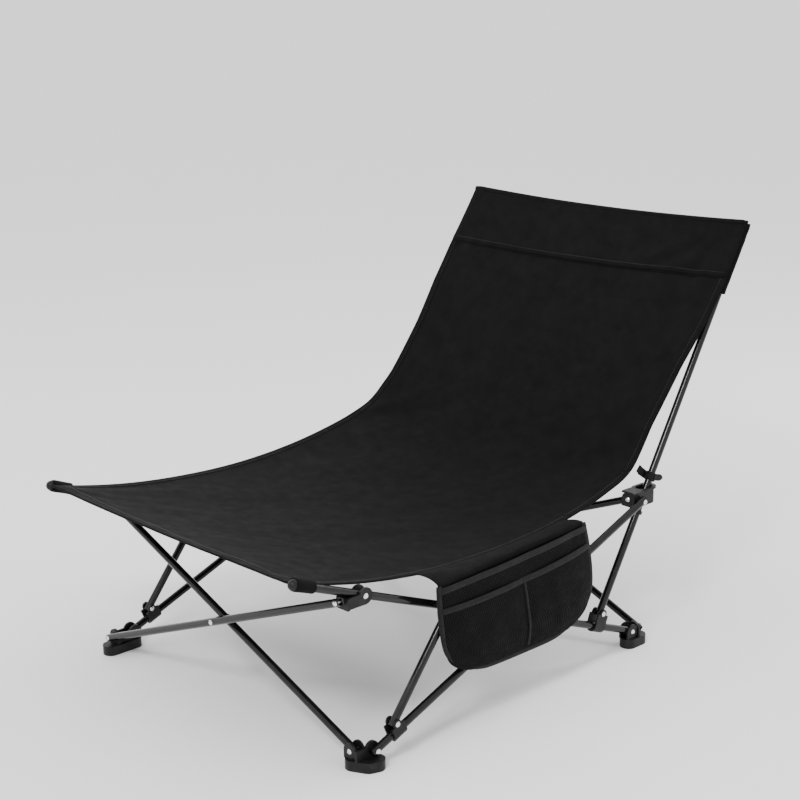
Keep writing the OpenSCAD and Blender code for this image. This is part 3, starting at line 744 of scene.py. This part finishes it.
def make_pocket(front, mats):
    lo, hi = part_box("side_pocket")
    wall = hi.x - 14.5 * MM
    body = "seat_front_cloth"
    made = []

    def keep(piece, slot="pocket_mesh"):
        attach(piece, body)
        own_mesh(piece)
        made.append(piece)
        return piece

    def ripple(a, h):
        return (0.9 * np.sin(a * 19 + h * 5) * np.sin(h * 9 + 1) + 0.5 * np.sin(a * 41 - h * 7)) * MM

    zero, one = (lambda a: 0 * a), (lambda a: 0 * a + 1)
    back = pocket_grid(zero, one, lambda a, k, h: wall + 0.4 * ripple(a, h))
    sheet = keep(shell("pocket_back", back[:, ::-1], PANEL, mats["cloth"]), "sling_cloth")
    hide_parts("side_pocket")

    # flap from the seat's edge over the tubes
    a = np.linspace(0, 1, 50)
    top = pocket_point(a, 0 * a, wall + 0 * a)
    edge = front[:, -1]
    start = np.stack([np.interp(top[:, 1], edge[:, 1], edge[:, k]) for k in (0, 1, 2)], 1)
    start[:, 0] -= 5 * MM
    bend = (start + top) / 2 + np.array([0.006, 0, 0.010])
    rows = []
    for t in np.linspace(0, 1, 14):
        rows.append((1 - t) ** 2 * start + 2 * t * (1 - t) * bend + t * t * top)
    down = pocket_point(a, 0 * a + 0.05, wall + 1.2 * MM + 0 * a)
    rows += [down]
    flap = np.array(rows)
    flap[..., 2] += 1.0 * MM * np.sin(np.linspace(0, 1, 15)[:, None] * np.pi) * np.sin(a * 23)[None]
    piece = keep(shell("pocket_flap", flap, PANEL, mats["cloth"], lift=0.6 * MM),
                 "sling_cloth")

    # upper and lower mesh panels
    upper = slit(20, 1, 1.5)
    lower = slit(55, 34, 5)
    floor = slit(100, 84, 2)

    def upper_depth(a, k, h):
        full = np.sin(np.pi * np.clip(a, 0, 1)) ** 0.5
        return wall + (2.0 + 4.6 * full * (1 - 0.65 * k)) * MM + 0.5 * ripple(a, h)

    def lower_depth(a, k, h):
        cell = np.sin(np.pi * np.clip(np.where(a < DIVIDER, a / DIVIDER,
                                               (a - DIVIDER) / (1 - DIVIDER)), 0, 1))
        full = 0.45 * np.sin(np.pi * a) ** 0.5 + 0.55 * cell ** 0.6
        hang = np.sin(np.pi * (0.16 + 0.84 * np.clip(k, 0, 1))) ** 0.55
        return wall + (2.2 + 8.6 * full * hang) * MM + ripple(a, h) * np.sin(np.pi * k)

    for name, h0, h1, depth, size in (
            ("upper", upper, floor, upper_depth, (0.345, 0.085)),
            ("lower", lower, one, lower_depth, (0.350, 0.140))):
        g = pocket_grid(h0, h1, depth)[:, ::-1]
        panel = keep(shell(f"pocket_mesh_{name}", g, 1.2 * MM, mats["mesh"]))
        deep = float(np.mean(lengths(g, 0)[-1]))
        tape = patch(g, 0, POCKET_HEM / deep, 0, 1, 5, COLS_POCKET)
        keep(shell(f"pocket_hem_{name}", tape, 2.6 * MM, mats["webbing"], lift=0.4 * MM),
             "webbing")
        keep(stitches(f"pocket_hem_stitches_{name}", tape, [(0.78, 0.01, 0.78, 0.99)],
                      mats["thread"], 1.6 * MM, pitch=5 * MM, long=3.4 * MM), "webbing")
        if name == "lower":
            t = np.linspace(0, 0.93, 24)
            line = sample(g, t * (g.shape[0] - 1), 0 * t + (1 - DIVIDER - 0.02 * t) * (COLS_POCKET - 1))
            line[:, 0] += 0.9 * MM
            keep(sweep("pocket_divider", line, (1, 0, 0), 2.6 * MM, 1.0 * MM, mats["webbing"]),
                 "webbing")
    binding(wall, keep, mats)


def binding(wall, keep, mats):
    """Tape sewn round the pocket's two sides and its bottom."""
    h = np.linspace(0.02, 0.9, 26)
    along = np.linspace(0.04, 0.96, 40)
    path = np.concatenate([pocket_point(0 * h, h, wall + 0 * h),
                           pocket_point(along, 0 * along + 1, wall + 0 * along),
                           pocket_point(0 * h + 1, h, wall + 0 * h)[::-1]])
    for _ in range(14):
        path[1:-1] = path[1:-1] * 0.5 + (path[:-2] + path[2:]) * 0.25
    path[:, 0] += 1.6 * MM
    tape = sweep("pocket_binding", path, (1, 0, 0), 4.6 * MM, 2.6 * MM, mats["webbing"], 12)
    keep(tape, "webbing")


# ---- frame's finish, floor and light -------------------------------------------------------

def finish_frame(mats):
    for name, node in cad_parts.items():
        if name.startswith(("tube_", "brace_right", "brace_left")) or name in (
                "pole_right", "pole_left"):
            mat = mats["tube"]
        elif "pin" in name:
            mat = mats["zinc"]
        else:
            mat = mats["plastic"]
        if not node.material_slots:
            node.data.materials.append(mat)
        for slot in node.material_slots:
            slot.material = mat


def make_floor():
    me = bpy.data.meshes.new("floor")
    n, size = 24, 40.0  # squares along a side, and half a side in metres
    verts = [(size * (i / n - 0.5) * 2, size * (j / n - 0.5) * 2, -0.0004)
             for j in range(n + 1) for i in range(n + 1)]
    faces = [(j * (n + 1) + i, j * (n + 1) + i + 1, (j + 1) * (n + 1) + i + 1,
              (j + 1) * (n + 1) + i) for j in range(n) for i in range(n)]
    me.from_pydata(verts, [], faces)
    look = Nodes("floor", (0.93, 0.93, 0.93), 0.8, Specular_IOR_Level=0.2)
    look.colour(look.mix(look.noise(look.coords("Object"), 3, 3), (0.92, 0.92, 0.92), (0.94, 0.94, 0.94)))
    me.materials.append(look.mat)
    floor = bpy.data.objects.new("floor", me)
    bpy.context.scene.collection.objects.link(floor)


def area_light(name, at, aim, size, power):
    data = bpy.data.lights.new(name, "AREA")
    data.shape, data.size, data.size_y, data.energy = "RECTANGLE", size[0], size[1], power
    ob = bpy.data.objects.new(name, data)
    ob.location = at
    way = np.array(aim) - np.array(at)
    flat = math.hypot(way[0], way[1])
    ob.rotation_euler = (math.atan2(flat, -way[2]), 0, math.atan2(way[1], way[0]) - math.pi / 2)
    bpy.context.scene.collection.objects.link(ob)


def make_light():
    world = bpy.data.worlds.new("studio")
    world.use_nodes = True
    world.node_tree.nodes["Background"].inputs["Color"].default_value = (1, 1, 1, 1)
    world.node_tree.nodes["Background"].inputs["Strength"].default_value = 1.5
    bpy.context.scene.world = world
    area_light("key", (1.2, -2.4, 2.6), (0, 0, 0.3), (0.6, 0.6), 60)
    area_light("fill", (-2.6, -1.0, 1.8), (0, 0, 0.3), (1.4, 1.8), 14)
    area_light("rim", (0.6, 2.6, 2.2), (0, 0.2, 0.4), (0.9, 0.5), 40)


def main():
    make_camera()
    mats = {"tube": powder_coat(), "plastic": nylon(), "zinc": zinc(),
            "cloth": woven("sling_cloth", (0.0022, 0.0022, 0.0023), (0.0058, 0.0058, 0.0060),
                           0.0011, 0.74),
            "mesh": mesh_cloth(), "webbing": webbing(), "thread": thread(),
            # darker cloth for the band's seam welt: a painted shadow line under the band's lower edge
            "painted_seam_shadow": woven("seam_painted_shadow", (0.0018, 0.0018, 0.002), (0.004, 0.004, 0.0042),
                                 0.0011, 0.8)}
    finish_frame(mats)
    front, rear, back = make_sling(mats)
    make_pocket(front, mats)
    for side in ("right", "left"):
        pole_sleeve(side, back, mats)
        corner_sock(side, mats)
        pole_loop(side, mats)
    make_floor()
    make_light()


main()
